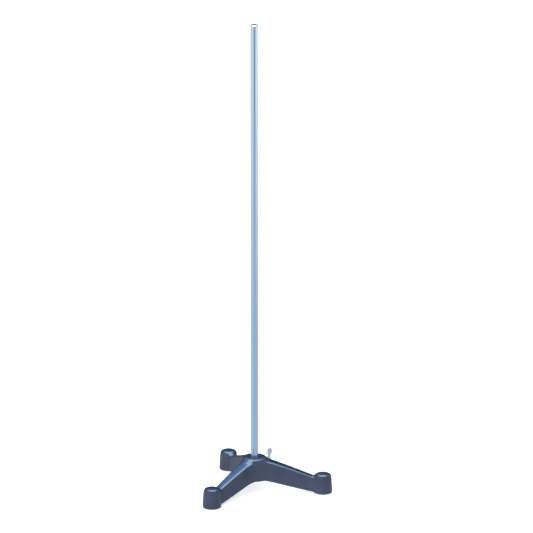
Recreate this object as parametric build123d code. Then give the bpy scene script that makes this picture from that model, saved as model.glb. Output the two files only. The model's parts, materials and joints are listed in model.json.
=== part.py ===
from build123d import *
import os
from math import atan, cos, radians, sin, sqrt, tan

# A laboratory retort stand: a cast three-legged base, a round rod that stands in
# its hub and a wing screw that clamps the rod's spigot. Millimetres, +Z up. The origin is
# on the bench, under the rod's axis. The first leg points along +X.

# ------------------------------------------------------------ dimensions

# rod, standing on the hub with the shoulder above its spigot
rod_diameter = 12.0
rod_length = 750.0  # with the spigot
rod_chamfer = 1.0
spigot_diameter = 10.0
spigot_clearance = 0.05  # between the spigot and its bore, on each side
spigot_recess = 0.3  # the spigot's end stands this far inside the hub
spigot_chamfer = 0.8

# stance
leg_names = ("right", "rear", "front")
foot_circle_radius = 110.5
pad_proud = 0.6  # the rubber pads lift the casting this far off the bench

# foot bosses
foot_height = 32.8
foot_bottom_radius = 15.1
foot_top_radius = 13.4
foot_crown = 0.9  # rise of the domed top over its edge
foot_edge_radius = 3.6
foot_sole_radius = 0.8

# hub
hub_bottom_z = 19.0
hub_top_z = 56.4
hub_bottom_radius = 21.0
hub_top_radius = 20.4
hub_crown_radius = 3.5
hub_sole_radius = 1.0
bore_chamfer = 0.6

# legs: each runs from inside the hub to inside its foot boss
leg_start_radius = 12.0
crown_rise = 1.8  # the hub's top over the legs' top, at the legs' start
foot_rise = 11.3  # the foot's top over the legs' top, at the foot's centre
leg_top_bow = 0.9  # the top's middle over a straight line
hub_drop = 3.2  # the legs' underside over the hub's, at the legs' start
leg_under_lift = 0.6  # the legs' underside over the sole, inside the foot boss
leg_under_bow = -0.9  # the underside's middle over a straight line
leg_root_width = 30.0  # across a leg at the rod's axis, at bench level
leg_tip_width = 15.2  # across a leg at the foot circle, at bench level
web_radius = 50.0  # upright hollow between two legs, at bench level
leg_draft = 3.5  # degrees, narrower upwards
leg_edge_radius = 2.8
leg_under_edge_radius = 1.0
foot_blend_radius = 3.0  # hollow where a leg runs into its foot boss

# rubber pads under the feet
pad_diameter = 20.0
pad_recess = 2.0
pad_edge = 0.4

# clamp screw, between the first leg and the second
screw_diameter = 8.0
screw_hole_clearance = 0.05
screw_height = 40.0
screw_length = 16.0
screw_chamfer = 0.8
countersink = 0.8
pin_diameter = 3.0
pin_length = 2.2

# brass tip between the screw and the rod
tip_diameter = 6.2
tip_length = 5.0
tip_gap = 0.03  # running clearance, on the spigot and on the screw's pin
tip_edge = 0.4

# head of the clamp screw
wing_span = 41.0
wing_height = 18.2
wing_thickness = 4.6
wing_lobe_radius = 5.6
wing_waist = (12.2, 6.4)  # middle of the hollow outer edge: from the axis, above the seat
wing_valley = (5.6, 12.4)  # middle of the edge between the two wings
wing_edge_radius = 1.0
head_bottom_radius = 8.0
head_top_radius = 6.6
head_height = 11.0
head_edge_radius = 0.8

# --------------------------------------------------------------- derived

leg_count = len(leg_names)
leg_angles = [leg * 360 / leg_count for leg in range(leg_count)]
half_pitch = 180 / leg_count  # degrees from a leg to the middle of the gap beside it
spigot_radius = spigot_diameter / 2
bore_radius = spigot_radius + spigot_clearance
rod_bottom_z = hub_bottom_z + spigot_recess
casting_bottom_z = pad_proud
pad_top_z = pad_proud + pad_recess
hole_radius = screw_diameter / 2 + screw_hole_clearance
tip_face = spigot_radius + tip_gap  # from the rod's axis to the tip's face
screw_face = tip_face + tip_length + tip_gap
head_seat = screw_face + screw_length  # from the rod's axis to the underside of the head

# the screw's own frame: its +Z runs outwards along the screw, its +X is up
screw_direction = (cos(radians(half_pitch)), sin(radians(half_pitch)), 0)
screw_frame = Plane(origin=(0, 0, screw_height), x_dir=(0, 0, 1), z_dir=screw_direction)


# ------------------------------------------------------------ helpers


def turned(profile):
    """Turn a flat profile, drawn as (radius, height), about the Z axis."""
    return revolve(Plane.XZ * profile, Axis.Z, 360)


def rounded(profile, corner, radius):
    """Round the profile's corner that lies at the given point."""
    return fillet(profile.vertices().sort_by_distance((*corner, 0))[0], radius)


def standing(radius, low, high):
    """A cylinder about the Z axis between two heights."""
    return Pos(0, 0, (low + high) / 2) * Cylinder(radius, high - low)


def at_feet(shape):
    """A copy of the shape at each foot."""
    return [Rot(0, 0, angle) * Pos(foot_circle_radius, 0, 0) * shape for angle in leg_angles]


def along_screw(shape, distance):
    """Put a shape on the screw's axis, this far from the rod's axis."""
    return screw_frame.location * Pos(0, 0, distance) * shape


# ------------------------------------------------------------ the casting


def star_plan():
    """Plan of the legs at bench level, with a round hollow between each pair."""
    half_root = leg_root_width / 2
    half_tip = leg_tip_width / 2
    leg = Polygon(
        (0, -half_root),
        (foot_circle_radius, -half_tip),
        (foot_circle_radius, half_tip),
        (0, half_root),
        align=None,
    )
    plan = Sketch() + [Rot(0, 0, angle) * leg for angle in leg_angles]
    corners = [v for v in plan.vertices() if Vector(v.X, v.Y).length < foot_circle_radius / 2]
    return fillet(corners, web_radius)


def web_distance(height):
    """From the rod's axis to the wall half way between two legs."""
    splay = atan((leg_root_width - leg_tip_width) / 2 / foot_circle_radius)
    gap = radians(half_pitch)
    corner = leg_root_width / 2 / (sin(gap) + tan(splay) * cos(gap))
    hollow = web_radius * (1 / sin(gap + splay) - 1)
    return corner + hollow - height * tan(radians(leg_draft))


def hub_radius(height):
    """Of the hub's drafted wall, at this height."""
    share = (height - hub_bottom_z) / (hub_top_z - hub_bottom_z)
    return hub_bottom_radius + share * (hub_top_radius - hub_bottom_radius)


def bowed(start, end, bow):
    """A shallow arc from start to end whose middle stands this far over the straight line."""
    middle = ((start[0] + end[0]) / 2, (start[1] + end[1]) / 2 + bow)
    return ThreePointArc(start, middle, end)


def leg_envelope():
    """Everything between the legs' underside and their top, turned about the rod's axis."""
    top_start = (leg_start_radius, hub_top_z - crown_rise)
    top_end = (foot_circle_radius, foot_height - foot_rise)
    under_start = (leg_start_radius, hub_bottom_z + hub_drop)
    under_end = (foot_circle_radius - foot_bottom_radius / 2, casting_bottom_z + leg_under_lift)
    outer_corner = (foot_circle_radius, under_end[1])
    top_centre = (0, top_start[1])
    under_centre = (0, under_start[1])
    outline = [
        Line(under_centre, under_start),
        bowed(under_start, under_end, leg_under_bow),
        Line(under_end, outer_corner),
        Line(outer_corner, top_end),
        bowed(top_end, top_start, leg_top_bow),
        Line(top_start, top_centre),
        Line(top_centre, under_centre),
    ]
    return turned(make_face(outline))


def sloping_edges(star, upper):
    """The long edges round the legs' top, or round their underside."""
    slopes = star.faces().filter_by(GeomType.REVOLUTION).sort_by(Axis.Z)
    face = slopes[-1] if upper else slopes[0]
    return face.edges().filter_by(GeomType.BSPLINE)


def make_legs():
    star = extrude(star_plan(), amount=hub_top_z, taper=leg_draft) & leg_envelope()
    star = fillet(sloping_edges(star, upper=True), leg_edge_radius)
    return fillet(sloping_edges(star, upper=False), leg_under_edge_radius)


def make_foot_boss():
    """A round foot boss about the Z axis, drafted, with a top that is part of a sphere."""
    edge_z = foot_height - foot_crown
    sole = (foot_bottom_radius, casting_bottom_z)
    shoulder = (foot_top_radius, edge_z)
    dome_radius = (foot_top_radius**2 + foot_crown**2) / (2 * foot_crown)
    half_way = foot_top_radius / 2
    half_way_z = foot_height - dome_radius + sqrt(dome_radius**2 - half_way**2)
    outline = [
        Line((0, casting_bottom_z), sole),
        Line(sole, shoulder),
        ThreePointArc(shoulder, (half_way, half_way_z), (0, foot_height)),
        Line((0, foot_height), (0, casting_bottom_z)),
    ]
    profile = rounded(make_face(outline), shoulder, foot_edge_radius)
    return turned(rounded(profile, sole, foot_sole_radius))


def make_hub():
    sole = (hub_bottom_radius, hub_bottom_z)
    crown = (hub_top_radius, hub_top_z)
    profile = Polygon((0, hub_bottom_z), sole, crown, (0, hub_top_z), align=None)
    profile = rounded(profile, crown, hub_crown_radius)
    return turned(rounded(profile, sole, hub_sole_radius))


def spigot_bore():
    """What the spigot's bore takes out of the hub, chamfered at both mouths."""
    mouth = bore_radius + bore_chamfer
    profile = Polygon(
        (0, hub_bottom_z),
        (mouth, hub_bottom_z),
        (bore_radius, hub_bottom_z + bore_chamfer),
        (bore_radius, hub_top_z - bore_chamfer),
        (mouth, hub_top_z),
        (0, hub_top_z),
        align=None,
    )
    return turned(profile)


def screw_hole():
    """What the clamp screw's hole takes out of the hub's side."""
    wall = max(web_distance(screw_height), hub_radius(screw_height))
    beyond = 2 * wall
    profile = Polygon(
        (0, 0),
        (hole_radius, 0),
        (hole_radius, wall - countersink),
        (hole_radius + countersink, wall),
        (hole_radius + countersink, beyond),
        (0, beyond),
        align=None,
    )
    return along_screw(turned(profile), 0)


def pad_recesses():
    """What the rubber pads' recesses take out of the feet."""
    return at_feet(standing(pad_diameter / 2, 0, pad_top_z))


def make_base_casting():
    star = make_legs()
    feet = at_feet(make_foot_boss())
    stance = star + feet
    stance = fillet(new_edges(star, *feet, combined=stance), foot_blend_radius)
    return stance + make_hub() - spigot_bore() - screw_hole() - pad_recesses()


# ------------------------------------------------------------ other pieces


def make_support_rod():
    top_z = rod_bottom_z + rod_length
    rod = standing(rod_diameter / 2, hub_top_z, top_z)
    rod = chamfer(rod.edges().filter_by(GeomType.CIRCLE).sort_by(Axis.Z)[-1], rod_chamfer)
    spigot = standing(spigot_radius, rod_bottom_z, hub_top_z)
    spigot = chamfer(spigot.edges().filter_by(GeomType.CIRCLE).sort_by(Axis.Z)[0], spigot_chamfer)
    return rod + spigot


def make_foot_pad():
    pad = standing(pad_diameter / 2, 0, pad_top_z)
    sole = pad.edges().filter_by(GeomType.CIRCLE).sort_by(Axis.Z)[0]
    return chamfer(sole, pad_edge)


def make_brass_tip():
    """The swivelling tip: flat on the rod, with a socket for the screw's pin."""
    body = standing(tip_diameter / 2, 0, tip_length)
    body = chamfer(body.edges().filter_by(GeomType.CIRCLE), tip_edge)
    socket_floor = tip_length - pin_length
    socket = standing(pin_diameter / 2 + tip_gap, socket_floor, tip_length)
    return along_screw(body - socket, tip_face)


def wing():
    """One wing of the head, in the XZ plane, with the screw's axis along Z."""
    lobe = (wing_span / 2 - wing_lobe_radius, wing_height - wing_lobe_radius)

    def on_lobe(degrees):
        angle = radians(degrees)
        return (lobe[0] + wing_lobe_radius * cos(angle), lobe[1] + wing_lobe_radius * sin(angle))

    head_radius = (head_bottom_radius + head_top_radius) / 2
    root = (head_radius, head_edge_radius)
    axis_low = (0, head_edge_radius)
    axis_high = (0, head_height - head_edge_radius)
    outline = [
        Line(axis_low, root),
        ThreePointArc(root, wing_waist, on_lobe(-25)),
        ThreePointArc(on_lobe(-25), on_lobe(60), on_lobe(145)),
        ThreePointArc(on_lobe(145), wing_valley, axis_high),
        Line(axis_high, axis_low),
    ]
    blade = extrude(Plane.XZ * make_face(outline), amount=wing_thickness / 2, both=True)
    rim = [edge for edge in blade.edges() if edge.geom_type == GeomType.CIRCLE]
    return fillet(rim, wing_edge_radius)


def make_wing_screw():
    head_profile = Polygon(
        (0, 0), (head_bottom_radius, 0), (head_top_radius, head_height), (0, head_height), align=None
    )
    head = turned(head_profile)
    head = fillet(head.edges().filter_by(GeomType.CIRCLE), head_edge_radius)
    wings = [wing(), Rot(0, 0, 180) * wing()]
    shank = standing(screw_diameter / 2, -screw_length, head_height / 2)
    shank = chamfer(shank.edges().filter_by(GeomType.CIRCLE).sort_by(Axis.Z)[0], screw_chamfer)
    pin = standing(pin_diameter / 2, -screw_length - pin_length, -screw_length / 2)
    return along_screw(head + wings + shank + pin, head_seat)


parts = {
    "base_casting": make_base_casting(),
    "support_rod": make_support_rod(),
    "wing_screw": make_wing_screw(),
    "brass_tip": make_brass_tip(),
}
for name, pad in zip(leg_names, at_feet(make_foot_pad())):
    parts[f"foot_pad_{name}"] = pad

os.makedirs("parts", exist_ok=True)
for name, shape in parts.items():
    export_step(shape, f"parts/{name}.step")
    print(f"{name}: {len(shape.solids())} solid, {shape.volume:.1f} mm3")
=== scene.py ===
"""Looks of a laboratory retort stand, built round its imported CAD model.

A cast-iron tripod base in stoved enamel carries a bright plated rod, which a wing screw
clamps through a brass tip. Everything is in metres, in the model's own frame.
"""

import json
from math import cos, pi, radians, sin

import bmesh
import bpy
import numpy as np
from mathutils import Matrix, Vector, noise


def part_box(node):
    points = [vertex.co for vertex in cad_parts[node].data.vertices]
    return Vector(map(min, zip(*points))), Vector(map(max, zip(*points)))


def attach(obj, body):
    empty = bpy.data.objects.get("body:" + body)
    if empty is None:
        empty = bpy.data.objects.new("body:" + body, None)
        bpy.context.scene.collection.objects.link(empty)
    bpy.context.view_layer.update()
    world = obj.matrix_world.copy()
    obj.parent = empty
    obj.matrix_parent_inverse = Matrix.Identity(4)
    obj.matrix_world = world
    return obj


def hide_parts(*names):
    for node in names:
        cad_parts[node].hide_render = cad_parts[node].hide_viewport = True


MM = 0.001

# ---------------------------------------------------------------- dimensions

# the casting
PAD_PROUD = 0.6 * MM  # the casting stands this far off the bench
PAD_RADIUS = 10.0 * MM
PAD_TOP = 2.6 * MM
FOOT_CIRCLE = 110.5 * MM
FOOT_COUNT = 3
BORE_RADIUS = 5.05 * MM
BORE_CHAMFER = 0.6 * MM
SPIGOT_RECESS = 0.3 * MM
SCREW_HOLE_RADIUS = 4.05 * MM
SCREW_WALL = 20.66 * MM  # from the rod's axis to the wall that the screw goes through
COUNTERSINK = 0.8 * MM
CASTING_VOXEL = 0.85 * MM
CASTING_SMOOTHING = 8  # passes, for the soft edges of a sand casting under enamel
CASTING_FAIRING = 40  # pairs of passes that even the walls out
FAIRING_PULLS = (0.6, -0.62)  # in and back out, so that nothing shrinks
PLUG_OVERLAP = 0.5 * MM
BORE_RUN_OUT = 1.0 * MM
CROWN_FILLING = 85  # passes, for the wide hollow where the legs run up into the hub
CROWN_ZONE = (16.5 * MM, 19.5 * MM, 27.0 * MM, 33.0 * MM)  # distances from the rod's axis
CROWN_HEIGHTS = (22.0 * MM, 30.0 * MM)  # where the filling starts and is full
FOOT_ROUNDING = 28  # passes, for the domed tops of the feet
FOOT_ZONE = (21.0 * MM, 28.0 * MM)  # heights where the rounding starts and is full
FOOT_REACH = (13.5 * MM, 15.5 * MM)  # distances from the foot's axis where it fades out
RIM_ROUNDING = 40  # passes, for the hub's rim
RIM_REACH = (12.0 * MM, 16.0 * MM)  # distances from the rod's axis where it fades in
RIM_DEPTHS = (9.0 * MM, 4.0 * MM)  # under the hub's top, where it starts and is full
UNEVENNESS = ((15.0 * MM, 0.045 * MM), (48.0 * MM, 0.11 * MM))  # (spacing, height) of the waves
FLAT_SEAT_RADIUS = 8.0 * MM  # machined flat under the rod's shoulder

# the rod
ROD_RADIUS = 6.0 * MM
ROD_CHAMFER = 1.0 * MM
SPIGOT_RADIUS = 5.0 * MM
SPIGOT_CHAMFER = 0.8 * MM
ROD_EDGE = 0.12 * MM  # break on the rod's sharp corners

# the wing screw, M8 with a coarse thread
SCREW_SEAT = 26.06 * MM  # from the rod's axis to the underside of the head
SHANK_LENGTH = 16.0 * MM
THREAD_RADIUS = 4.0 * MM
THREAD_DEPTH = 0.72 * MM
THREAD_PITCH = 1.25 * MM
THREAD_FLATS = (0.12, 0.8)  # where the flank leaves the crest and meets the root, in half pitches
THREAD_SIDES, THREAD_RINGS = 65, 198
ROOT_LENGTH = 1.5 * MM  # of the shank, inside the head
SHANK_CHAMFER = 0.8 * MM
PIN_RADIUS = 1.5 * MM
PIN_LENGTH = 2.2 * MM
HEAD_VOXEL = 0.25 * MM
HEAD_SMOOTHING = 5
EAR_THINS_FROM, EAR_THINS_TO = 8.0 * MM, 19.0 * MM
EAR_THINNING = 0.3

# rubber pads
PAD_EDGE = 0.4 * MM
PAD_GROOVES = ((3.4 * MM, 4.6 * MM), (6.2 * MM, 7.4 * MM))  # inner and outer radius
PAD_GROOVE_DEPTH = 0.5 * MM

ROUND = 128  # sides of a large turned form


# ------------------------------------------------------------------- helpers


def linear(hex_colour):
    """An sRGB hex colour as the linear values that a shader takes."""
    channels = [int(hex_colour[i : i + 2], 16) / 255 for i in (1, 3, 5)]
    return (*(c / 12.92 if c <= 0.04045 else ((c + 0.055) / 1.055) ** 2.4 for c in channels), 1.0)


def add(tree, kind, inputs=None, stops=(), **settings):
    """Add a node. An input takes a value, or another node's output as a link.

    stops are a colour ramp's (position, colour) pairs.
    """
    made = tree.nodes.new(kind)
    for name, value in settings.items():
        setattr(made, name, value)
    for name, value in (inputs or {}).items():
        if isinstance(value, bpy.types.NodeSocket):
            tree.links.new(value, made.inputs[name])
        else:
            made.inputs[name].default_value = value
    if stops:
        elements = made.color_ramp.elements
        while len(elements) < len(stops):
            elements.new(1.0)
        for element, (position, colour) in zip(elements, stops):
            element.position = position
            element.color = colour
    return made


def new_material(name):
    """An empty material and its node tree."""
    made = bpy.data.materials.new(name)
    made.use_nodes = True
    made.node_tree.nodes.clear()
    return made, made.node_tree


def new_object(name, mesh, *materials):
    """An object at the origin, with its place in its mesh."""
    made = bpy.data.objects.new(name, mesh)
    bpy.context.scene.collection.objects.link(made)
    mesh.materials.clear()
    for finish in materials:
        mesh.materials.append(finish)
    return made


def smooth_shading(mesh, sharp_from=35):
    mesh.shade_smooth()
    mesh.set_sharp_from_angle(angle=radians(sharp_from))


def mesh_of(form, name):
    """The plain mesh of a bmesh, which is freed."""
    mesh = bpy.data.meshes.new(name)
    form.to_mesh(mesh)
    form.free()
    return mesh


def applied(piece):
    """Replace a piece's mesh by what its modifiers make of it, and drop the modifiers."""
    graph = bpy.context.evaluated_depsgraph_get()
    made = bpy.data.meshes.new_from_object(piece.evaluated_get(graph), depsgraph=graph)
    piece.modifiers.clear()
    piece.data = made
    return piece


def turned(profile, segments=ROUND):
    """A closed form turned about Z from (radius, height) points that start and end on the axis."""
    form = bmesh.new()
    turns = [2 * pi * step / segments for step in range(segments)]
    rings = []
    for radius, height in profile:
        if radius == 0:
            rings.append([form.verts.new((0, 0, height))])
        else:
            ring = [(radius * cos(turn), radius * sin(turn), height) for turn in turns]
            rings.append([form.verts.new(spot) for spot in ring])
    for lower, upper in zip(rings, rings[1:]):
        for near in range(segments):
            far = (near + 1) % segments
            corners = [
                lower[near % len(lower)],
                lower[far % len(lower)],
                upper[far % len(upper)],
                upper[near % len(upper)],
            ]
            form.faces.new(dict.fromkeys(corners))
    bmesh.ops.recalc_face_normals(form, faces=form.faces)
    return form


def merged_copy(node_name):
    """A CAD node's mesh with its loose triangles joined up."""
    form = bmesh.new()
    form.from_mesh(frame["nodes"][node_name].data)
    bmesh.ops.remove_doubles(form, verts=form.verts, dist=0.001 * MM)
    return form


def positions(mesh):
    spots = np.empty(len(mesh.vertices) * 3, np.float32)
    mesh.vertices.foreach_get("co", spots)
    return spots.reshape(-1, 3).astype(float)


def set_positions(mesh, spots):
    mesh.vertices.foreach_set("co", spots.astype(np.float32).ravel())
    mesh.update()


def ease(value, start, end):
    """0 before start, 1 after end, and a smooth step between."""
    share = np.clip((value - start) / (end - start), 0, 1)
    return share * share * (3 - 2 * share)


def normals_of(mesh):
    normals = np.empty(len(mesh.vertices) * 3, np.float32)
    mesh.vertices.foreach_get("normal", normals)
    return normals.reshape(-1, 3)


def relaxed(mesh, passes, pull=0.6, share=1.0, fill_only=False):
    """Soften a mesh by moving each point towards the mean of its neighbours.

    share says how far each point takes part. fill_only moves points outwards only, which
    fills hollows and leaves edges as they are.
    """
    ends = np.empty(len(mesh.edges) * 2, np.int32)
    mesh.edges.foreach_get("vertices", ends)
    first, second = ends.reshape(-1, 2).T
    count = np.bincount(ends, minlength=len(mesh.vertices))[:, None]
    spots = positions(mesh)
    for done in range(passes):
        total = np.stack(
            [
                np.bincount(first, spots[second, axis], len(spots))
                + np.bincount(second, spots[first, axis], len(spots))
                for axis in range(3)
            ],
            axis=1,
        )
        step = pull * (total / count - spots) * share
        if fill_only:
            if done % 10 == 0:
                set_positions(mesh, spots)
                outwards = normals_of(mesh)
            step = outwards * np.clip((step * outwards).sum(axis=1), 0, None)[:, None]
        spots += step
    set_positions(mesh, spots)


def voxel_skin(name, form, voxel):
    """One even, closed skin round everything in a form."""
    piece = new_object(name, mesh_of(form, name))
    remesh = piece.modifiers.new("skin", "REMESH")
    remesh.mode = "VOXEL"
    remesh.voxel_size = voxel
    return applied(piece)


def cut_with(piece, cutter_form, finish, operation="DIFFERENCE"):
    """Cut a form out of a piece, or weld it on. The new faces take the form's finish."""
    tool = new_object("tool", mesh_of(cutter_form, "tool"), finish)
    boolean = piece.modifiers.new("cut", "BOOLEAN")
    boolean.operation = operation
    boolean.solver = "EXACT"
    boolean.material_mode = "TRANSFER"
    boolean.object = tool
    applied(piece)
    bpy.data.objects.remove(tool)
    return piece


# ------------------------------------------------------------ the CAD frame

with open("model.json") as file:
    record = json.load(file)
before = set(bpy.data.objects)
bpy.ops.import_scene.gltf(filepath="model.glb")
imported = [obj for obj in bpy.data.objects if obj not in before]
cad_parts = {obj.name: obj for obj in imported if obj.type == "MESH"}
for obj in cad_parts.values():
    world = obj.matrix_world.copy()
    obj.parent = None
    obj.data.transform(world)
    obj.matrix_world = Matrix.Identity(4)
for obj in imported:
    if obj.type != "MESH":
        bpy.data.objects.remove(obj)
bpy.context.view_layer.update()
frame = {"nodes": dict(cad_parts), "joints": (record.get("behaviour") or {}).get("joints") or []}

screw_joint = next(j for j in frame["joints"] if j["name"] == "screw_turn")
screw_out = Vector(screw_joint["axis"]).normalized()
screw_side = screw_out.cross(Vector((0, 0, 1)))
# the screw's own frame: +Z outwards along the screw, +X up
along_screw = Matrix.Translation(screw_joint["pos_m"]) @ Matrix(
    ((0, 0, 1), tuple(screw_side), tuple(screw_out))
).transposed().to_4x4()
seated_screw = along_screw @ Matrix.Translation((0, 0, SCREW_SEAT))

hub_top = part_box("base_casting")[1].z
rod_low, rod_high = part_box("support_rod")[0].z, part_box("support_rod")[1].z
hub_bottom = rod_low - SPIGOT_RECESS


# --------------------------------------------------------------------- camera

CAMERA_DISTANCE = 10.0
CAMERA_TURN = radians(7.62)
CAMERA_PITCH = radians(16.995)
CAMERA_LENS = 426.32  # mm, on a sensor 36 mm wide
AIM_SIDE, AIM_HEIGHT = 19.24 * MM, 373.4 * MM

camera_right = Vector((cos(CAMERA_TURN), sin(CAMERA_TURN), 0))
camera_back = Vector(
    (
        sin(CAMERA_TURN) * cos(CAMERA_PITCH),
        -cos(CAMERA_TURN) * cos(CAMERA_PITCH),
        sin(CAMERA_PITCH),
    )
)
camera = bpy.data.objects.new("camera", bpy.data.cameras.new("camera"))
camera.data.sensor_width = 36.0
camera.data.lens = CAMERA_LENS
camera.data.clip_start, camera.data.clip_end = 0.1, 100.0
aim = camera_right * AIM_SIDE + Vector((0, 0, AIM_HEIGHT))
camera.location = aim + camera_back * CAMERA_DISTANCE
camera.rotation_euler = (-camera_back).to_track_quat("-Z", "Y").to_euler()
bpy.context.scene.collection.objects.link(camera)
bpy.context.scene.camera = camera
bpy.context.scene.view_settings.view_transform = "Standard"


# ------------------------------------------------------------------ materials


def stoved_enamel():
    """Slate-blue enamel sprayed on a sand casting and stoved: glossy, with a faint orange peel."""
    material, tree = new_material("stoved_enamel_on_cast_iron")
    place = add(tree, "ShaderNodeTexCoord").outputs["Object"]
    # clouds about 30 mm across, where the spray lies a little thicker or thinner
    clouds = add(
        tree, "ShaderNodeTexNoise", {"Vector": place, "Scale": 1 / (30 * MM), "Detail": 3.0}
    )
    tones = add(
        tree, "ShaderNodeValToRGB", {"Fac": clouds.outputs["Fac"]},
        stops=((0.36, linear("#282D3E")), (0.64, linear("#2D3346"))),
    )
    # orange peel of spray enamel, drawn at 2.4 mm, because the real 1 mm would not show
    peel = add(
        tree, "ShaderNodeTexNoise", {"Vector": place, "Scale": 1 / (2.4 * MM), "Detail": 2.0}
    )
    bump = add(
        tree,
        "ShaderNodeBump",
        {"Height": peel.outputs["Fac"], "Strength": 0.35, "Distance": 0.03 * MM},
    )
    gloss = add(
        tree,
        "ShaderNodeMapRange",
        {
            "Value": clouds.outputs["Fac"],
            "From Min": 0.3,
            "From Max": 0.7,
            "To Min": 0.2,
            "To Max": 0.3,
        },
    )
    shader = add(
        tree,
        "ShaderNodeBsdfPrincipled",
        {
            "Base Color": tones.outputs["Color"],
            "Roughness": gloss.outputs["Result"],
            "IOR": 1.52,
            "Normal": bump.outputs["Normal"],
        },
    )
    add(tree, "ShaderNodeOutputMaterial", {"Surface": shader.outputs["BSDF"]})
    return material


def machined_iron():
    """Bare grey iron where the casting was bored: dull, with tool marks."""
    material, tree = new_material("machined_cast_iron")
    place = add(tree, "ShaderNodeTexCoord").outputs["Object"]
    height = add(tree, "ShaderNodeSeparateXYZ", {"Vector": place}).outputs["Z"]
    # tool marks 0.3 mm apart
    marks = add(
        tree, "ShaderNodeTexNoise", {"W": height, "Scale": 1 / (0.3 * MM), "Detail": 1.0},
        noise_dimensions="1D",
    )
    grain = add(
        tree, "ShaderNodeTexNoise", {"Vector": place, "Scale": 1 / (0.8 * MM), "Detail": 4.0}
    )
    tones = add(
        tree, "ShaderNodeValToRGB", {"Fac": grain.outputs["Fac"]},
        stops=((0.3, linear("#55565A")), (0.7, linear("#787A7E"))),
    )
    bump = add(
        tree,
        "ShaderNodeBump",
        {"Height": marks.outputs["Fac"], "Strength": 0.4, "Distance": 0.02 * MM},
    )
    shader = add(
        tree,
        "ShaderNodeBsdfPrincipled",
        {
            "Base Color": tones.outputs["Color"],
            "Metallic": 1.0,
            "Roughness": 0.48,
            "Normal": bump.outputs["Normal"],
        },
    )
    add(tree, "ShaderNodeOutputMaterial", {"Surface": shader.outputs["BSDF"]})
    return material


def plated_rod_steel():
    """Cold-drawn steel bar, plated bright: cool mirror gloss, drawn out lengthwise."""
    material, tree = new_material("bright_plated_drawn_steel")
    place = add(tree, "ShaderNodeTexCoord").outputs["Object"]
    # draw lines, 0.5 mm apart because the real 0.1 mm would not show, and about 120 mm long
    lines_place = add(
        tree,
        "ShaderNodeMapping",
        {"Vector": place, "Scale": (1 / (0.5 * MM), 1 / (0.5 * MM), 1 / (120 * MM))},
        vector_type="POINT",
    )
    lines = add(
        tree,
        "ShaderNodeTexNoise",
        {"Vector": lines_place.outputs["Vector"], "Scale": 1.0, "Detail": 3.0},
    )
    # slow changes in the plating, about 60 mm along
    haze = add(tree, "ShaderNodeTexNoise", {"Vector": place, "Scale": 1 / (60 * MM), "Detail": 2.0})
    tones = add(
        tree, "ShaderNodeValToRGB", {"Fac": lines.outputs["Fac"]},
        stops=((0.35, linear("#D0DAE2")), (0.65, linear("#DBE4EC"))),
    )
    gloss = add(
        tree,
        "ShaderNodeMapRange",
        {
            "Value": haze.outputs["Fac"],
            "From Min": 0.3,
            "From Max": 0.7,
            "To Min": 0.13,
            "To Max": 0.21,
        },
    )
    bump = add(
        tree,
        "ShaderNodeBump",
        {"Height": lines.outputs["Fac"], "Strength": 0.25, "Distance": 0.01 * MM},
    )
    shader = add(
        tree,
        "ShaderNodeBsdfPrincipled",
        {
            "Base Color": tones.outputs["Color"],
            "Metallic": 1.0,
            "Roughness": gloss.outputs["Result"],
            "Normal": bump.outputs["Normal"],
        },
    )
    add(tree, "ShaderNodeOutputMaterial", {"Surface": shader.outputs["BSDF"]})
    return material


def plated_screw_steel():
    """Hot-pressed steel, nickel plated: pale, softly bright, a little uneven."""
    material, tree = new_material("nickel_plated_pressed_steel")
    place = add(tree, "ShaderNodeTexCoord").outputs["Object"]
    # scale pits left by the pressing, 0.9 mm apart
    pits = add(
        tree, "ShaderNodeTexNoise", {"Vector": place, "Scale": 1 / (0.9 * MM), "Detail": 3.0}
    )
    haze = add(tree, "ShaderNodeTexNoise", {"Vector": place, "Scale": 1 / (6 * MM), "Detail": 2.0})
    tones = add(
        tree, "ShaderNodeValToRGB", {"Fac": haze.outputs["Fac"]},
        stops=((0.3, linear("#D6CFC3")), (0.7, linear("#E6E0D6"))),
    )
    gloss = add(
        tree,
        "ShaderNodeMapRange",
        {
            "Value": pits.outputs["Fac"],
            "From Min": 0.3,
            "From Max": 0.7,
            "To Min": 0.24,
            "To Max": 0.36,
        },
    )
    bump = add(
        tree,
        "ShaderNodeBump",
        {"Height": pits.outputs["Fac"], "Strength": 0.3, "Distance": 0.03 * MM},
    )
    shader = add(
        tree,
        "ShaderNodeBsdfPrincipled",
        {
            "Base Color": tones.outputs["Color"],
            "Metallic": 1.0,
            "Roughness": gloss.outputs["Result"],
            "Normal": bump.outputs["Normal"],
        },
    )
    add(tree, "ShaderNodeOutputMaterial", {"Surface": shader.outputs["BSDF"]})
    return material


def turned_brass():
    """Free-cutting brass off a lathe: warm yellow with fine rings round the screw's axis."""
    material, tree = new_material("turned_brass")
    place = add(tree, "ShaderNodeTexCoord").outputs["Object"]
    along = add(
        tree, "ShaderNodeVectorMath", {0: place, 1: tuple(screw_out)}, operation="DOT_PRODUCT"
    ).outputs["Value"]
    # tool rings 0.15 mm apart
    rings = add(
        tree, "ShaderNodeTexNoise", {"W": along, "Scale": 1 / (0.15 * MM), "Detail": 1.0},
        noise_dimensions="1D",
    )
    tones = add(
        tree, "ShaderNodeValToRGB", {"Fac": rings.outputs["Fac"]},
        stops=((0.3, linear("#B8953F")), (0.7, linear("#D2B05A"))),
    )
    bump = add(
        tree,
        "ShaderNodeBump",
        {"Height": rings.outputs["Fac"], "Strength": 0.4, "Distance": 0.01 * MM},
    )
    shader = add(
        tree,
        "ShaderNodeBsdfPrincipled",
        {
            "Base Color": tones.outputs["Color"],
            "Metallic": 1.0,
            "Roughness": 0.27,
            "Normal": bump.outputs["Normal"],
        },
    )
    add(tree, "ShaderNodeOutputMaterial", {"Surface": shader.outputs["BSDF"]})
    return material


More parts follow.
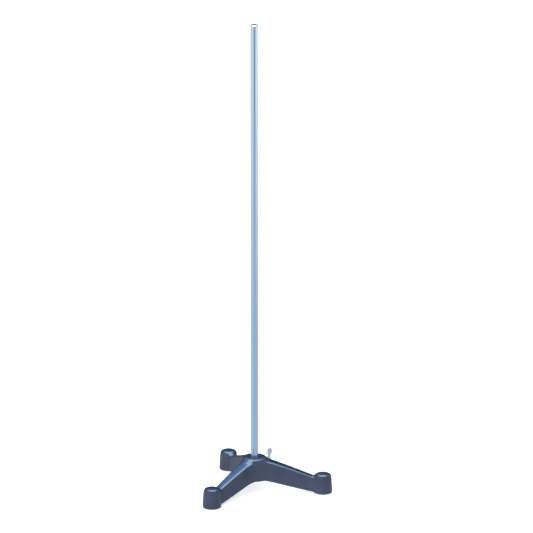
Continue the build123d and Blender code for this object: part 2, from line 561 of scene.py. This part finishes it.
def moulded_rubber():
    """Black moulded nitrile rubber: matt, with a fine mould grain and some dust."""
    material, tree = new_material("moulded_rubber")
    place = add(tree, "ShaderNodeTexCoord").outputs["Object"]
    # mould grain 0.4 mm across
    grain = add(
        tree, "ShaderNodeTexNoise", {"Vector": place, "Scale": 1 / (0.4 * MM), "Detail": 2.0}
    )
    dust = add(tree, "ShaderNodeTexNoise", {"Vector": place, "Scale": 1 / (7 * MM), "Detail": 4.0})
    tones = add(
        tree, "ShaderNodeValToRGB", {"Fac": dust.outputs["Fac"]},
        stops=((0.35, linear("#1B1B1D")), (0.75, linear("#2C2C2E"))),
    )
    bump = add(
        tree,
        "ShaderNodeBump",
        {"Height": grain.outputs["Fac"], "Strength": 0.4, "Distance": 0.04 * MM},
    )
    shader = add(
        tree,
        "ShaderNodeBsdfPrincipled",
        {
            "Base Color": tones.outputs["Color"],
            "Roughness": 0.72,
            "IOR": 1.52,
            "Normal": bump.outputs["Normal"],
        },
    )
    add(tree, "ShaderNodeOutputMaterial", {"Surface": shader.outputs["BSDF"]})
    return material


def studio_paper():
    """White background paper: matt, with a faint tooth."""
    material, tree = new_material("studio_paper")
    place = add(tree, "ShaderNodeTexCoord").outputs["Object"]
    # paper tooth 5 mm across
    tooth = add(tree, "ShaderNodeTexNoise", {"Vector": place, "Scale": 1 / (5 * MM), "Detail": 2.0})
    tones = add(
        tree, "ShaderNodeValToRGB", {"Fac": tooth.outputs["Fac"]},
        stops=((0.3, linear("#F3F4F5")), (0.7, linear("#F6F6F6"))),
    )
    shader = add(
        tree,
        "ShaderNodeBsdfPrincipled",
        {
            "Base Color": tones.outputs["Color"],
            "Roughness": 0.95,
            "Emission Color": (1, 1, 1, 1),
            "Emission Strength": 0.5,
        },
    )
    add(tree, "ShaderNodeOutputMaterial", {"Surface": shader.outputs["BSDF"]})
    return material


enamel = stoved_enamel()
bare_iron = machined_iron()
rod_steel = plated_rod_steel()
screw_steel = plated_screw_steel()
brass = turned_brass()
rubber = moulded_rubber()
paper = studio_paper()


# ---------------------------------------------------------------- the casting


def screw_hole_form():
    """The screw's hole with its countersink, from the rod's axis out through the wall."""
    mouth = SCREW_HOLE_RADIUS + COUNTERSINK
    form = turned(
        [
            (0, 0),
            (SCREW_HOLE_RADIUS, 0),
            (SCREW_HOLE_RADIUS, SCREW_WALL - COUNTERSINK),
            (mouth, SCREW_WALL),
            (mouth, 2 * SCREW_WALL),
            (0, 2 * SCREW_WALL),
        ],
        segments=64,
    )
    bmesh.ops.transform(form, matrix=along_screw, verts=form.verts)
    return form


def bore_form():
    """The spigot's bore, chamfered at both mouths and open at both ends."""
    mouth = BORE_RADIUS + BORE_CHAMFER
    return turned(
        [
            (0, hub_bottom - BORE_RUN_OUT),
            (mouth, hub_bottom - BORE_RUN_OUT),
            (mouth, hub_bottom),
            (BORE_RADIUS, hub_bottom + BORE_CHAMFER),
            (BORE_RADIUS, hub_top - BORE_CHAMFER),
            (mouth, hub_top),
            (mouth, hub_top + BORE_RUN_OUT),
            (0, hub_top + BORE_RUN_OUT),
        ]
    )


def foot_places():
    """Where each foot stands, as matrices."""
    out = Matrix.Translation((FOOT_CIRCLE, 0, 0))
    return [Matrix.Rotation(2 * pi * foot / FOOT_COUNT, 4, "Z") @ out for foot in range(FOOT_COUNT)]


def at_feet(make_form):
    """One form with a copy at each foot."""
    together = bmesh.new()
    for place in foot_places():
        form = make_form()
        bmesh.ops.transform(form, matrix=place, verts=form.verts)
        mesh = mesh_of(form, "copy")
        together.from_mesh(mesh)
        bpy.data.meshes.remove(mesh)
    return together


def plug(radius, low, high, matrix=Matrix()):
    form = turned([(0, low), (radius, low), (radius, high), (0, high)], segments=48)
    bmesh.ops.transform(form, matrix=matrix, verts=form.verts)
    return form


def add_form(form, extra):
    mesh = mesh_of(extra, "extra")
    form.from_mesh(mesh)
    bpy.data.meshes.remove(mesh)


def make_casting():
    """The enamelled tripod base. Its holes are filled while the skin is softened."""
    form = merged_copy("base_casting")
    add_form(form, plug(BORE_RADIUS + BORE_CHAMFER + PLUG_OVERLAP, hub_bottom, hub_top))
    add_form(form, plug(SCREW_HOLE_RADIUS + COUNTERSINK + PLUG_OVERLAP, 0, SCREW_WALL, along_screw))
    for place in foot_places():
        add_form(form, plug(PAD_RADIUS + PLUG_OVERLAP, PAD_PROUD, PAD_TOP + PLUG_OVERLAP, place))
    casting = voxel_skin("enamelled_base", form, CASTING_VOXEL)
    relaxed(casting.data, CASTING_SMOOTHING)
    for pull in FAIRING_PULLS * CASTING_FAIRING:
        relaxed(casting.data, 1, pull)
    spots = positions(casting.data)
    from_axis = np.hypot(spots[:, 0], spots[:, 1])
    near, full_near, full_far, far = CROWN_ZONE
    crown = ease(from_axis, near, full_near) * (1 - ease(from_axis, full_far, far))
    crown *= ease(spots[:, 2], *CROWN_HEIGHTS)
    relaxed(casting.data, CROWN_FILLING, share=crown[:, None], fill_only=True)
    dome = np.zeros(len(spots))
    for place in foot_places():
        from_foot = np.hypot(spots[:, 0] - place[0][3], spots[:, 1] - place[1][3])
        dome = np.maximum(dome, 1 - ease(from_foot, *FOOT_REACH))
    dome *= ease(spots[:, 2], *FOOT_ZONE)
    relaxed(casting.data, FOOT_ROUNDING, share=dome[:, None])
    rim_low, rim_high = (hub_top - depth for depth in RIM_DEPTHS)
    rim = ease(from_axis, *RIM_REACH) * ease(spots[:, 2], rim_low, rim_high)
    relaxed(casting.data, RIM_ROUNDING, share=rim[:, None])

    spots = positions(casting.data)
    normals = normals_of(casting.data)
    swell = np.zeros(len(spots))
    for spacing, height in UNEVENNESS:
        swell += height * np.array([noise.noise(Vector(spot) / spacing) for spot in spots])
    swell *= ease(from_axis, FLAT_SEAT_RADIUS, 2 * FLAT_SEAT_RADIUS)
    swell *= ease(spots[:, 2], PAD_PROUD, PAD_TOP)
    set_positions(casting.data, spots + normals * swell[:, None])

    casting.data.materials.append(enamel)
    casting.data.materials.append(bare_iron)
    cut_with(casting, bore_form(), bare_iron)
    cut_with(casting, screw_hole_form(), bare_iron)
    cut_with(casting, at_feet(lambda: plug(PAD_RADIUS, 0, PAD_TOP)), bare_iron)
    smooth_shading(casting.data, sharp_from=40)
    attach(casting, "base")
    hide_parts("base_casting")


make_casting()


# -------------------------------------------------------------------- the rod


def make_rod():
    """The rod with its chamfered top, and the spigot under its shoulder."""
    top = ROD_RADIUS - ROD_CHAMFER
    profile = [
        (0, rod_low),
        (SPIGOT_RADIUS - SPIGOT_CHAMFER, rod_low),
        (SPIGOT_RADIUS, rod_low + SPIGOT_CHAMFER),
        (SPIGOT_RADIUS, hub_top),
        (ROD_RADIUS - ROD_EDGE, hub_top),
        (ROD_RADIUS, hub_top + ROD_EDGE),
    ]
    # rings about 25 mm apart keep the long wall's triangles in shape
    steps = 28
    wall_low, wall_high = hub_top + ROD_EDGE, rod_high - ROD_CHAMFER - ROD_EDGE
    profile += [
        (ROD_RADIUS, wall_low + (wall_high - wall_low) * step / steps)
        for step in range(1, steps + 1)
    ]
    profile += [
        (ROD_RADIUS - ROD_EDGE / 2, rod_high - ROD_CHAMFER),
        (top + ROD_EDGE / 2, rod_high - ROD_EDGE),
        (top - ROD_EDGE / 2, rod_high),
        (0, rod_high),
    ]
    rod = new_object("plated_rod", mesh_of(turned(profile), "plated_rod"), rod_steel)
    smooth_shading(rod.data, sharp_from=25)
    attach(rod, "rod")
    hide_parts("support_rod")


make_rod()


# ------------------------------------------------------------- the wing screw


def thread_tree():
    """Geometry nodes that roll a sheet up into a threaded shank with a plain pin on its end."""
    tree = bpy.data.node_groups.new("threaded_shank", "GeometryNodeTree")
    tree.interface.new_socket("Geometry", in_out="OUTPUT", socket_type="NodeSocketGeometry")
    sizes = ("Crest Radius", "Thread Depth", "Pitch", "Root Length", "Shank Length",
             "End Chamfer", "Pin Radius", "Pin Length")
    for name in sizes:
        tree.interface.new_socket(name, in_out="INPUT", socket_type="NodeSocketFloat")
    for name in ("Sides", "Rings"):
        tree.interface.new_socket(name, in_out="INPUT", socket_type="NodeSocketInt")
    tree.interface.new_socket("Finish", in_out="INPUT", socket_type="NodeSocketMaterial")
    given = add(tree, "NodeGroupInput").outputs

    sheet = add(
        tree,
        "GeometryNodeMeshGrid",
        {"Size X": 1.0, "Size Y": 1.0, "Vertices X": given["Sides"], "Vertices Y": given["Rings"]},
    )
    place = add(
        tree, "ShaderNodeSeparateXYZ", {"Vector": add(tree, "GeometryNodeInputPosition").outputs[0]}
    ).outputs
    crest_end, root_start = THREAD_FLATS
    # each row is a result's name, the operation, and the results or numbers that it takes
    sums = (
        # the turn goes from 0 to 1 once round
        ("turn", "ADD", "across", 0.5),
        ("whole", "ADD", "Root Length", "Shank Length"),
        ("whole", "ADD", "whole", "Pin Length"),
        # along is 0 at the head's underside and grows towards the pin
        ("share", "ADD", "up", 0.5),
        ("along", "MULTIPLY", "share", "whole"),
        ("along", "SUBTRACT", "along", "Root Length"),
        # the groove is 0 on a crest and 1 on a root
        ("phase", "DIVIDE", "along", "Pitch"),
        ("phase", "SUBTRACT", "phase", "turn"),
        ("phase", "ADD", "phase", 8.0),
        ("phase", "FRACT", "phase"),
        ("flank", "MULTIPLY", "phase", 2.0),
        ("flank", "SUBTRACT", "flank", 1.0),
        ("flank", "ABSOLUTE", "flank"),
        ("groove", "SUBTRACT", "flank", crest_end),
        ("groove", "DIVIDE", "groove", root_start - crest_end),
        ("groove", "MAXIMUM", "groove", 0.0),
        ("groove", "MINIMUM", "groove", 1.0),
        ("groove", "MULTIPLY", "groove", "Thread Depth"),
        ("thread", "SUBTRACT", "Crest Radius", "groove"),
        # the chamfered end
        ("to end", "SUBTRACT", "Shank Length", "along"),
        ("chamfer", "SUBTRACT", "Crest Radius", "End Chamfer"),
        ("chamfer", "ADD", "chamfer", "to end"),
        ("thread", "MINIMUM", "thread", "chamfer"),
        # the pin past the end
        ("on pin", "LESS_THAN", "to end", 0.0),
        ("off pin", "SUBTRACT", 1.0, "on pin"),
        ("thread", "MULTIPLY", "thread", "off pin"),
        ("pin", "MULTIPLY", "Pin Radius", "on pin"),
        ("radius", "ADD", "thread", "pin"),
        # the first and the last ring close on the axis
        ("from middle", "ABSOLUTE", "up"),
        ("inside", "LESS_THAN", "from middle", 0.4999),
        ("radius", "MULTIPLY", "radius", "inside"),
        ("angle", "MULTIPLY", "turn", 2 * pi),
        ("cosine", "COSINE", "angle"),
        ("sine", "SINE", "angle"),
        ("X", "MULTIPLY", "radius", "cosine"),
        ("Y", "MULTIPLY", "radius", "sine"),
        ("Z", "MULTIPLY", "along", -1.0),
    )
    known = {"across": place["X"], "up": place["Y"], **{name: given[name] for name in sizes}}
    for name, operation, *takes in sums:
        inputs = {index: known.get(take, take) for index, take in enumerate(takes)}
        known[name] = add(tree, "ShaderNodeMath", inputs, operation=operation).outputs[0]
    rolled = add(tree, "ShaderNodeCombineXYZ", {axis: known[axis] for axis in "XYZ"})
    shaped = add(
        tree, "GeometryNodeSetPosition",
        {"Geometry": sheet.outputs["Mesh"], "Position": rolled.outputs["Vector"]},
    )
    closed = add(
        tree, "GeometryNodeMergeByDistance",
        {"Geometry": shaped.outputs["Geometry"], "Distance": 0.002 * MM},
    )
    real = add(tree, "GeometryNodeRealizeInstances", {"Geometry": closed.outputs["Geometry"]})
    finished = add(
        tree, "GeometryNodeSetMaterial",
        {"Geometry": real.outputs["Geometry"], "Material": given["Finish"]},
    )
    add(tree, "NodeGroupOutput", {"Geometry": finished.outputs["Geometry"]})
    return tree


def grown(name, tree, **values):
    """A plain mesh object from a node tree, with its named inputs set."""
    piece = new_object(name, bpy.data.meshes.new(name))
    grow = piece.modifiers.new("grow", "NODES")
    grow.node_group = tree
    for item in tree.interface.items_tree:
        if item.in_out == "INPUT" and item.name in values:
            grow[item.identifier] = values[item.name]
    return applied(piece)


def make_head():
    """The pressed head and its two ears, in the screw's own frame with the seat at height 0."""
    form = merged_copy("wing_screw")
    bmesh.ops.transform(form, matrix=seated_screw.inverted(), verts=form.verts)
    below_seat = -0.02 * MM
    cut = bmesh.ops.bisect_plane(
        form,
        geom=form.verts[:] + form.edges[:] + form.faces[:],
        plane_co=(0, 0, below_seat),
        plane_no=(0, 0, 1),
        clear_inner=True,
    )
    rim = [edge for edge in cut["geom_cut"] if isinstance(edge, bmesh.types.BMEdge)]
    bmesh.ops.contextual_create(form, geom=rim)
    bmesh.ops.recalc_face_normals(form, faces=form.faces)
    head = voxel_skin("wing_screw_head", form, HEAD_VOXEL)
    relaxed(head.data, HEAD_SMOOTHING)
    spots = positions(head.data)
    thinning = EAR_THINNING * ease(np.abs(spots[:, 0]), EAR_THINS_FROM, EAR_THINS_TO)
    spots[:, 1] *= 1 - thinning
    set_positions(head.data, spots)
    return head


def make_wing_screw():
    """The head with its ears, welded to a shank with a true thread."""
    shank = grown(
        "threaded_shank",
        thread_tree(),
        **{
            "Crest Radius": THREAD_RADIUS,
            "Thread Depth": THREAD_DEPTH,
            "Pitch": THREAD_PITCH,
            "Root Length": ROOT_LENGTH,
            "Shank Length": SHANK_LENGTH,
            "End Chamfer": SHANK_CHAMFER,
            "Pin Radius": PIN_RADIUS,
            "Pin Length": PIN_LENGTH,
            "Sides": THREAD_SIDES,
            "Rings": THREAD_RINGS,
            "Finish": screw_steel,
        },
    )
    shank_form = bmesh.new()
    shank_form.from_mesh(shank.data)
    bmesh.ops.recalc_face_normals(shank_form, faces=shank_form.faces)
    bpy.data.objects.remove(shank)
    screw = make_head()
    screw.name = "winged_clamp_screw"
    screw.data.materials.append(screw_steel)
    cut_with(screw, shank_form, screw_steel, operation="UNION")
    screw.data.transform(seated_screw)
    smooth_shading(screw.data, sharp_from=40)
    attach(screw, "clamp_screw")
    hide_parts("wing_screw")


make_wing_screw()


# ------------------------------------------------------- brass tip and pads


def pads_tree():
    """Geometry nodes that set one pad under each foot."""
    tree = bpy.data.node_groups.new("pads_under_feet", "GeometryNodeTree")
    tree.interface.new_socket("Geometry", in_out="OUTPUT", socket_type="NodeSocketGeometry")
    tree.interface.new_socket("Pad", in_out="INPUT", socket_type="NodeSocketObject")
    tree.interface.new_socket("Feet", in_out="INPUT", socket_type="NodeSocketInt")
    tree.interface.new_socket("Circle Radius", in_out="INPUT", socket_type="NodeSocketFloat")
    tree.interface.new_socket("Finish", in_out="INPUT", socket_type="NodeSocketMaterial")
    given = add(tree, "NodeGroupInput").outputs
    circle = add(
        tree,
        "GeometryNodeMeshCircle",
        {"Vertices": given["Feet"], "Radius": given["Circle Radius"]},
    )
    pad = add(tree, "GeometryNodeObjectInfo", {"Object": given["Pad"]})
    pads = add(
        tree,
        "GeometryNodeInstanceOnPoints",
        {"Points": circle.outputs["Mesh"], "Instance": pad.outputs["Geometry"]},
    )
    real = add(tree, "GeometryNodeRealizeInstances", {"Geometry": pads.outputs["Instances"]})
    finished = add(
        tree, "GeometryNodeSetMaterial",
        {"Geometry": real.outputs["Geometry"], "Material": given["Finish"]},
    )
    add(tree, "NodeGroupOutput", {"Geometry": finished.outputs["Geometry"]})
    return tree


def make_pads():
    """Three moulded pads with two ring grooves in their soles."""
    sole = [(0, 0)]
    for inner, outer in PAD_GROOVES:
        sole += [(inner, 0), (inner, PAD_GROOVE_DEPTH), (outer, PAD_GROOVE_DEPTH), (outer, 0)]
    sole += [(PAD_RADIUS - PAD_EDGE, 0), (PAD_RADIUS, PAD_EDGE)]
    sole += [(PAD_RADIUS, PAD_TOP), (0, PAD_TOP)]
    pattern = new_object("pad_pattern", mesh_of(turned(sole, segments=96), "pad_pattern"), rubber)
    pads = grown(
        "rubber_pads",
        pads_tree(),
        **{"Pad": pattern, "Feet": FOOT_COUNT, "Circle Radius": FOOT_CIRCLE, "Finish": rubber},
    )
    bpy.data.objects.remove(pattern)
    smooth_shading(pads.data, sharp_from=30)
    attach(pads, "base")
    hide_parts("foot_pad_right", "foot_pad_rear", "foot_pad_front")


make_pads()

tip = frame["nodes"]["brass_tip"]
for tip_slot in tip.material_slots:
    tip_slot.material = brass


# ---------------------------------------------------------- floor and lights


FLOOR_HALF = 40.0
DAYLIGHT = 0.66
FRONT_LIGHT = 5.6
DOME_RADIUS, DOME_LIGHT = 6.0, 8.0
SCREEN_LIGHT = 1.15


def make_floor():
    """A light table: white paper, lit from above and a little from below, so shadows stay faint."""
    form = bmesh.new()
    form.faces.new(
        [
            form.verts.new((x * FLOOR_HALF, y * FLOOR_HALF, 0))
            for x, y in ((-1, -1), (1, -1), (1, 1), (-1, 1))
        ]
    )
    floor = new_object("floor", mesh_of(form, "floor"), paper)
    floor.visible_glossy = False


def make_daylight():
    """Even white light from the whole sky, which the camera sees as a white backdrop."""
    world = bpy.data.worlds.new("daylight")
    bpy.context.scene.world = world
    world.use_nodes = True
    tree = world.node_tree
    tree.nodes.clear()
    light = add(
        tree, "ShaderNodeBackground", {"Color": (0.97, 0.985, 1.0, 1), "Strength": DAYLIGHT}
    )
    backdrop = add(tree, "ShaderNodeBackground", {"Color": (1, 1, 1, 1), "Strength": 1.0})
    seen = add(tree, "ShaderNodeLightPath").outputs["Is Camera Ray"]
    both = add(
        tree,
        "ShaderNodeMixShader",
        {"Fac": seen, 1: light.outputs["Background"], 2: backdrop.outputs["Background"]},
    )
    add(tree, "ShaderNodeOutputWorld", {"Surface": both.outputs["Shader"]})


def only_reflected(card):
    """A card that glossy surfaces mirror, and that neither lights nor shades anything else."""
    card.visible_camera = False
    card.visible_diffuse = False
    card.visible_transmission = False
    card.visible_volume_scatter = False
    card.visible_shadow = False


def glowing(name):
    material, tree = new_material(name)
    place = add(tree, "ShaderNodeTexCoord").outputs["Object"]
    return material, tree, place


def make_dome():
    """The studio that the enamel mirrors: dim low down behind, blue above, a white box overhead."""
    form = bmesh.new()
    bmesh.ops.create_icosphere(form, subdivisions=4, radius=DOME_RADIUS)
    material, tree, place = glowing("studio_dome")
    direction = add(
        tree, "ShaderNodeVectorMath", {0: place}, operation="NORMALIZE"
    ).outputs["Vector"]
    parts = add(tree, "ShaderNodeSeparateXYZ", {"Vector": direction}).outputs
    risen = add(
        tree, "ShaderNodeMapRange",
        {"Value": parts["Z"], "From Min": -1.0, "From Max": 1.0, "To Min": 0.0, "To Max": 1.0},
    ).outputs["Result"]
    low_front, low_behind = (0.11, 0.11, 0.115, 1), (0.045, 0.047, 0.053, 1)
    upper = (
        (0.52, (0.003, 0.0035, 0.005, 1)),
        (0.68, (0.005, 0.007, 0.011, 1)),
        (0.80, (0.022, 0.085, 0.22, 1)),
        (0.89, (0.038, 0.135, 0.33, 1)),
        (0.93, (0.62, 0.98, 1.32, 1)),
        (1.0, (0.78, 1.06, 1.32, 1)),
    )
    front = add(
        tree, "ShaderNodeValToRGB", {"Fac": risen},
        stops=((0.0, low_front), (0.46, low_front), *upper),
    )
    behind = add(
        tree, "ShaderNodeValToRGB", {"Fac": risen},
        stops=((0.0, low_behind), (0.46, low_behind), *upper),
    )
    backwards = add(
        tree, "ShaderNodeMapRange",
        {"Value": parts["Y"], "From Min": -0.5, "From Max": 0.5, "To Min": 0.0, "To Max": 1.0},
    ).outputs["Result"]
    glow = add(
        tree, "ShaderNodeMix",
        {"Factor": backwards, 6: front.outputs["Color"], 7: behind.outputs["Color"]},
        data_type="RGBA",
    )
    light = add(tree, "ShaderNodeEmission", {"Color": glow.outputs[2], "Strength": DOME_LIGHT})
    add(tree, "ShaderNodeOutputMaterial", {"Surface": light.outputs["Emission"]})
    only_reflected(new_object("studio_dome", mesh_of(form, "studio_dome"), material))


def make_rod_screen():
    """A curved screen round the front and sides, whose stripes the rod mirrors along its length."""
    radius, low, high, sides = 0.45, -0.35, 0.80, 96
    opening = radians(50)  # left open behind, each side of the camera's line
    start = CAMERA_TURN + pi / 2 + opening
    sweep = 2 * pi - 2 * opening
    form = bmesh.new()
    posts = []
    for step in range(sides + 1):
        turn = start + sweep * step / sides
        post = [(radius * cos(turn), radius * sin(turn), z) for z in (low, high)]
        posts.append([form.verts.new(spot) for spot in post])
    for near, far in zip(posts, posts[1:]):
        form.faces.new((near[0], far[0], far[1], near[1]))
    material, tree, place = glowing("rod_screen")
    parts = add(tree, "ShaderNodeSeparateXYZ", {"Vector": place}).outputs
    # turned so that the share of a full turn is 0.5 straight in front
    facing = add(
        tree, "ShaderNodeMapping", {"Vector": place, "Rotation": (0, 0, pi / 2 - CAMERA_TURN)}
    )
    around = add(
        tree, "ShaderNodeTexGradient", {"Vector": facing.outputs["Vector"]}, gradient_type="RADIAL"
    ).outputs["Fac"]
    upper = add(
        tree,
        "ShaderNodeValToRGB",
        {"Fac": around},
        stops=(
            (0.20, linear("#E8EEF2")),
            (0.27, linear("#C9C9D2")),
            (0.36, linear("#EAF2F6")),
            (0.45, linear("#B2C6D8")),
            (0.50, linear("#7E9ABC")),
            (0.56, linear("#8FAACB")),
            (0.64, linear("#D8E8F6")),
            (0.76, linear("#F4FAFF")),
        ),
    )
    lower = add(
        tree,
        "ShaderNodeValToRGB",
        {"Fac": around},
        stops=(
            (0.20, linear("#BFD2E6")),
            (0.30, linear("#BACDE0")),
            (0.40, linear("#B0C7DE")),
            (0.50, linear("#9BB6CF")),
            (0.60, linear("#ABC5DF")),
            (0.68, linear("#A2BDDB")),
            (0.80, linear("#B6C8DA")),
        ),
    )
    height = add(
        tree, "ShaderNodeMapRange",
        {"Value": parts["Z"], "From Min": 0.12, "From Max": 0.56, "To Min": 0.0, "To Max": 1.0},
    ).outputs["Result"]
    blend = add(
        tree, "ShaderNodeMix",
        {"Factor": height, 6: lower.outputs["Color"], 7: upper.outputs["Color"]},
        data_type="RGBA",
    )
    light = add(tree, "ShaderNodeEmission", {"Color": blend.outputs[2], "Strength": SCREEN_LIGHT})
    add(tree, "ShaderNodeOutputMaterial", {"Surface": light.outputs["Emission"]})
    only_reflected(new_object("rod_screen", mesh_of(form, "rod_screen"), material))


def make_front_light():
    """A wide soft light from in front, low down, which lifts the upright walls."""
    light = bpy.data.lights.new("front_light", "SUN")
    light.energy = FRONT_LIGHT
    light.angle = radians(50)
    light.color = (1.0, 0.93, 0.86)
    lamp = bpy.data.objects.new("front_light", light)
    towards = Vector((-0.25, -1.0, 0.15)).normalized()
    lamp.rotation_euler = towards.to_track_quat("Z", "Y").to_euler()
    lamp.visible_glossy = False
    bpy.context.scene.collection.objects.link(lamp)


make_floor()
make_daylight()
make_front_light()
make_dome()
make_rod_screen()


# --------------------------------------------------------------------- finish

bpy.context.view_layer.update()
